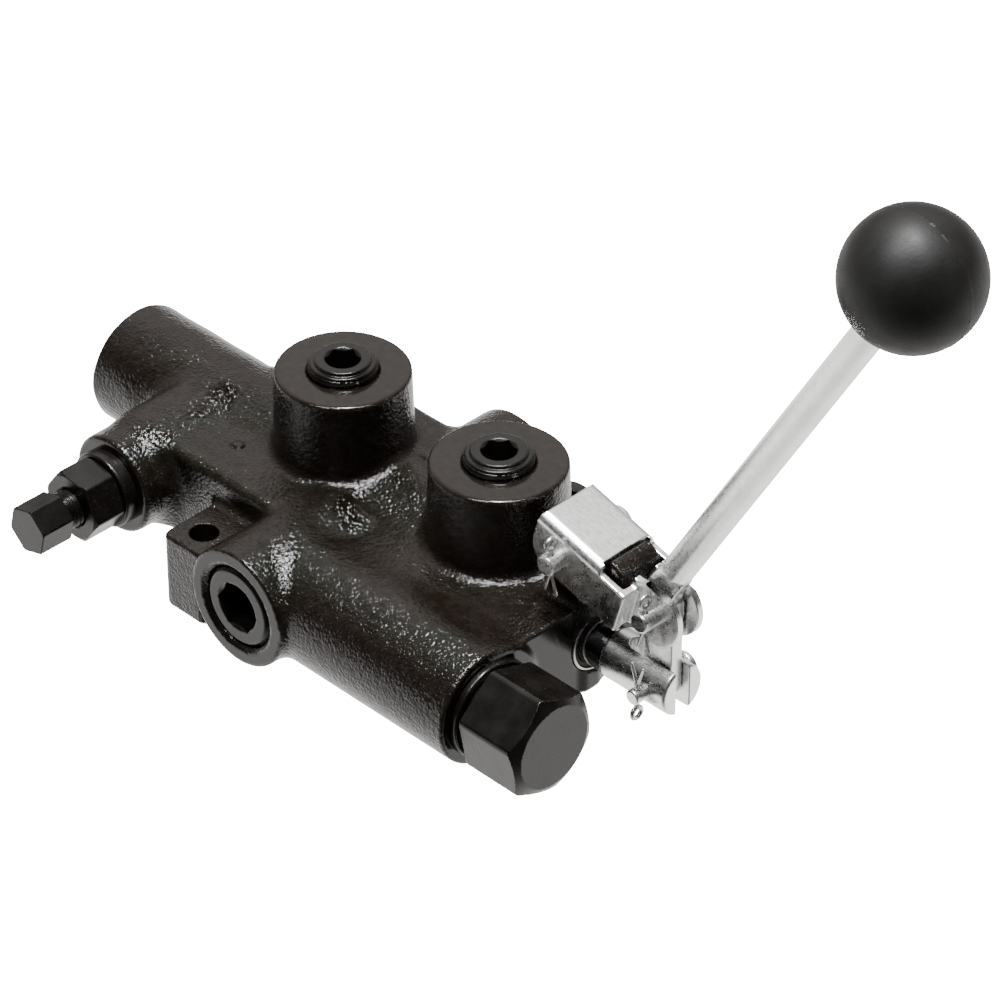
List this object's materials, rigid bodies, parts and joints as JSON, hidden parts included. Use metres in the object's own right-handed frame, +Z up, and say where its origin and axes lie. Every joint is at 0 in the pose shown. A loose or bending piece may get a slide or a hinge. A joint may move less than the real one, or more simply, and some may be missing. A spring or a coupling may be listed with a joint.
{
  "type": "hydraulic directional control valve",
  "caption": "Lever-operated hydraulic monoblock valve: ported cast body, sprung spool, relief valve, load check and a linked hand lever with a ball knob.",
  "frame": {"origin": "on the mounting plane, under the spool axis, midway between the two work ports on the machined foot pad", "axes": "+X along the spool towards the lever, +Y towards the rear port, +Z up through the work ports"},
  "size_m": [0.3296, 0.129, 0.2168],
  "materials": {
    "cast_black": "glossy black paint over rough sand-cast iron",
    "plug_black": "black paint over machined steel, satin",
    "zinc_bright": "bright zinc plate, lightly brushed",
    "cotter_wire": "plain zinc-plated wire",
    "spool_chrome": "ground and hard-chromed steel",
    "spring_steel": "oiled spring wire",
    "seal_rubber": "matt nitrile rubber",
    "wiper": "matt black wiper ring",
    "knob_black": "matt black moulded phenolic"
  },
  "bodies": {
    "housing": {"valve_body": "cast_black", "work_port_plug_a": "plug_black", "work_port_plug_b": "plug_black", "side_port_plug": "plug_black", "gallery_plug": "plug_black", "gallery_plug_washer": "plug_black", "barrel_end_plug": "plug_black", "relief_cartridge": "plug_black", "spring_seat": "spool_chrome", "check_spring": "spring_steel", "relief_spring": "spring_steel", "centering_spring_left": "spring_steel", "centering_spring_right": "spring_steel", "relief_seal": "seal_rubber", "spool_rear_seal": "seal_rubber", "spool_front_seal": "seal_rubber", "barrel_end_seal": "seal_rubber", "spool_wiper_ring": "wiper"},
    "link": {"link_bracket": "zinc_bright", "lug_pin": "zinc_bright", "lug_cotter": "cotter_wire", "fulcrum_pin": "zinc_bright", "fulcrum_cotter": "cotter_wire"},
    "lever": {"lever_blade": "zinc_bright", "lever_rod": "zinc_bright", "ball_knob": "knob_black"},
    "spool_assembly": {"spool": "spool_chrome", "spring_collar": "spool_chrome", "spring_stem": "spool_chrome", "spool_clevis": "zinc_bright", "spool_pin": "zinc_bright", "spool_cotter": "cotter_wire"},
    "relief_button": {"relief_spring_button": "spool_chrome"},
    "relief_screw": {"relief_adjusting_screw": "plug_black"},
    "relief_nut": {"relief_lock_nut": "plug_black"},
    "load_check": {"check_poppet": "spool_chrome"},
    "relief_plunger": {"relief_poppet": "spool_chrome"}
  },
  "joints": [
    {"name": "link_swing", "type": "hinge", "parent": "housing", "child": "link", "pos_m": [0.0692, 0, 0.0538], "axis": [0, 1, 0], "range_deg": [0, 1.9]},
    {"name": "lever_tilt", "type": "hinge", "parent": "link", "child": "lever", "pos_m": [0.0992, 0, 0.0455], "axis": [0, 1, 0], "range_deg": [-16, 16], "stiffness_Nm_per_rad": 12},
    {"name": "spool_stroke", "type": "slide", "parent": "housing", "child": "spool_assembly", "axis": [1, 0, 0], "range_m": [-0.0072, 0.0072], "deforming": ["centering_spring_left", "centering_spring_right"]},
    {"name": "relief_advance", "type": "slide", "parent": "housing", "child": "relief_button", "axis": [0, 1, 0], "range_m": [-0.00063, 0.00063]},
    {"name": "relief_screw_turn", "type": "hinge", "parent": "relief_button", "child": "relief_screw", "pos_m": [-0.083, -0.06, 0.02], "axis": [0, 1, 0], "range_deg": [-180, 180]},
    {"name": "lock_nut_turn", "type": "hinge", "parent": "housing", "child": "relief_nut", "pos_m": [-0.083, -0.06, 0.02], "axis": [0, 1, 0], "range_deg": [-180, 180]},
    {"name": "relief_lift", "type": "slide", "parent": "housing", "child": "relief_plunger", "axis": [0, -1, 0], "range_m": [0, 0.0015], "stiffness_N_per_m": 2000, "springref_m": -0.002, "deforming": ["relief_spring"]},
    {"name": "check_lift", "type": "slide", "parent": "housing", "child": "load_check", "axis": [1, 0, 0], "range_m": [0, 0.005], "stiffness_N_per_m": 300, "springref_m": -0.005, "deforming": ["check_spring"]}
  ],
  "couplings": [
    {"joint": "spool_stroke", "follows": "lever_tilt", "m_per_rad": -0.0255},
    {"joint": "relief_screw_turn", "follows": "relief_advance", "rad_per_m": 4948}
  ]
}
